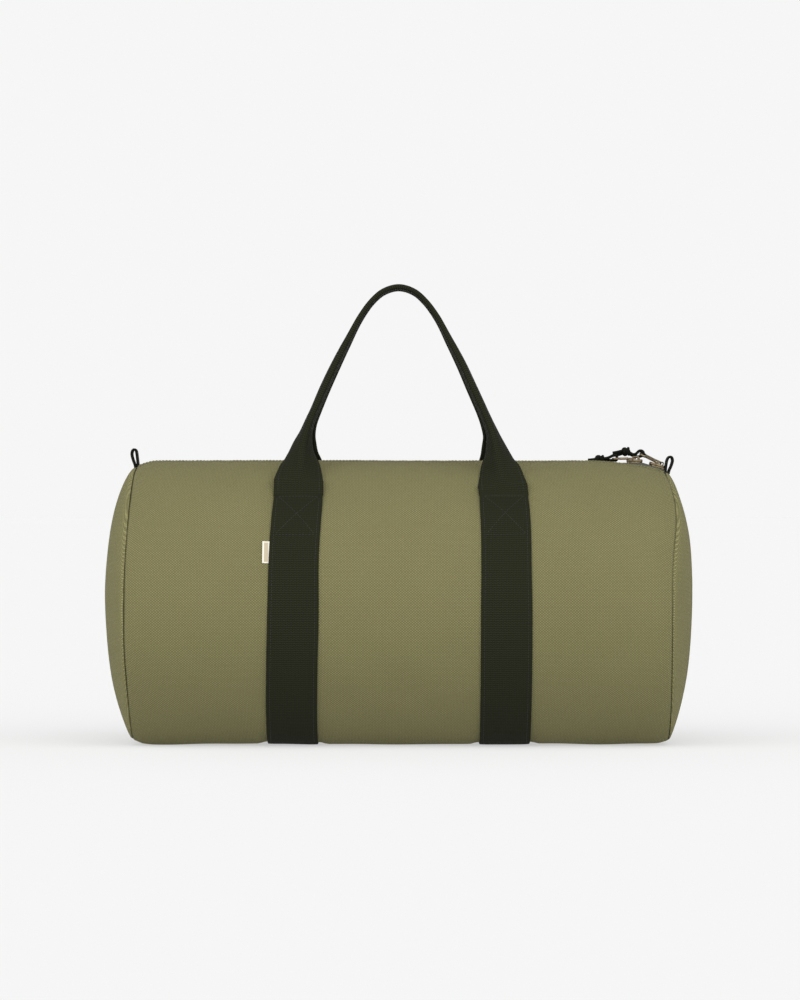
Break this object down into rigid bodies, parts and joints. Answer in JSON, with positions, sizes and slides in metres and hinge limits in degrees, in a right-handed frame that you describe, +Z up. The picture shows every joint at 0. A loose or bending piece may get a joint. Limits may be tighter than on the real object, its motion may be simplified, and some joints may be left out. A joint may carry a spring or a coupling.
{
  "type": "duffel bag",
  "caption": "Canvas barrel duffel bag with domed ends, wrap-around webbing straps, two folded carry handles and a two-slider top zip with cord pulls.",
  "frame": {"origin": "on the ground, under the middle of the bag's bounding box", "axes": "+X along the bag to its right end, -Y the front that faces a viewer, +Z up"},
  "size_m": [0.6044, 0.3062, 0.4697],
  "materials": {
    "canvas": "plain-weave olive cotton canvas, matte",
    "webbing": "ribbed dark olive webbing, matte",
    "loop_webbing": "narrow black webbing",
    "binding": "dark woven binding tape",
    "label": "cream woven label with a gold stripe, no wording",
    "zip_tape": "dark olive woven zip tape",
    "zip_coil": "dark nylon coil",
    "zip_metal": "antiqued bronze plating, worn bright on its edges",
    "pull_cord": "black braided cord"
  },
  "bodies": {
    "bag": {"main_panel": "canvas", "end_panel_left": "canvas", "end_panel_right": "canvas", "seam_binding_left": "binding", "seam_binding_right": "binding", "strap_left": "webbing", "strap_right": "webbing", "side_label": "label", "end_loop_left": "loop_webbing", "end_loop_right": "loop_webbing", "zip_stop_left": "zip_metal", "zip_coil_front_left_end": "zip_coil", "zip_tape_front_left_end": "zip_tape", "zip_coil_rear_left_end": "zip_coil", "zip_tape_rear_left_end": "zip_tape", "zip_coil_front_right_end": "zip_coil", "zip_tape_front_right_end": "zip_tape", "zip_coil_rear_right_end": "zip_coil", "zip_tape_rear_right_end": "zip_tape"},
    "mouth_front": {"mouth_flap_front": "canvas", "zip_tape_front": "zip_tape", "zip_coil_front": "zip_coil"},
    "mouth_rear": {"mouth_flap_rear": "canvas", "zip_tape_rear": "zip_tape", "zip_coil_rear": "zip_coil"},
    "handle_front": {"handle_front": "webbing"},
    "handle_rear": {"handle_rear": "webbing"},
    "slider_left": {"slider_left": "zip_metal"},
    "puller_left": {"puller_left": "zip_metal", "cord_left": "pull_cord", "cord_knot_left": "pull_cord"},
    "slider_right": {"slider_right": "zip_metal"},
    "puller_right": {"puller_right": "zip_metal", "cord_right": "pull_cord", "cord_knot_right": "pull_cord"}
  },
  "joints": [
    {"name": "mouth_front_hinge", "type": "hinge", "parent": "bag", "child": "mouth_front", "pos_m": [0, -0.0612, 0.2772], "axis": [1, 0, 0], "range_deg": [0, 50]},
    {"name": "mouth_rear_hinge", "type": "hinge", "parent": "bag", "child": "mouth_rear", "pos_m": [0, 0.0612, 0.2772], "axis": [-1, 0, 0], "range_deg": [0, 50]},
    {"name": "handle_front_hinge", "type": "hinge", "parent": "bag", "child": "handle_front", "pos_m": [0, -0.09805, 0.25675], "axis": [1, 0, 0], "range_deg": [0, 130]},
    {"name": "handle_rear_hinge", "type": "hinge", "parent": "bag", "child": "handle_rear", "pos_m": [0, 0.09805, 0.25675], "axis": [-1, 0, 0], "range_deg": [0, 130]},
    {"name": "slider_left_slide", "type": "slide", "parent": "bag", "child": "slider_left", "axis": [-1, 0, 0], "range_m": [0, 0.4545]},
    {"name": "puller_left_hinge", "type": "hinge", "parent": "slider_left", "child": "puller_left", "pos_m": [0.2423, 0, 0.2922], "axis": [0, 1, 0], "range_deg": [0, 70]},
    {"name": "slider_right_slide", "type": "slide", "parent": "bag", "child": "slider_right", "axis": [-0.9563, 0, 0.2924], "range_m": [0, 0.0035]},
    {"name": "puller_right_hinge", "type": "hinge", "parent": "slider_right", "child": "puller_right", "pos_m": [0.26838, 0, 0.28679], "axis": [0, 1, 0], "range_deg": [0, 80]}
  ]
}
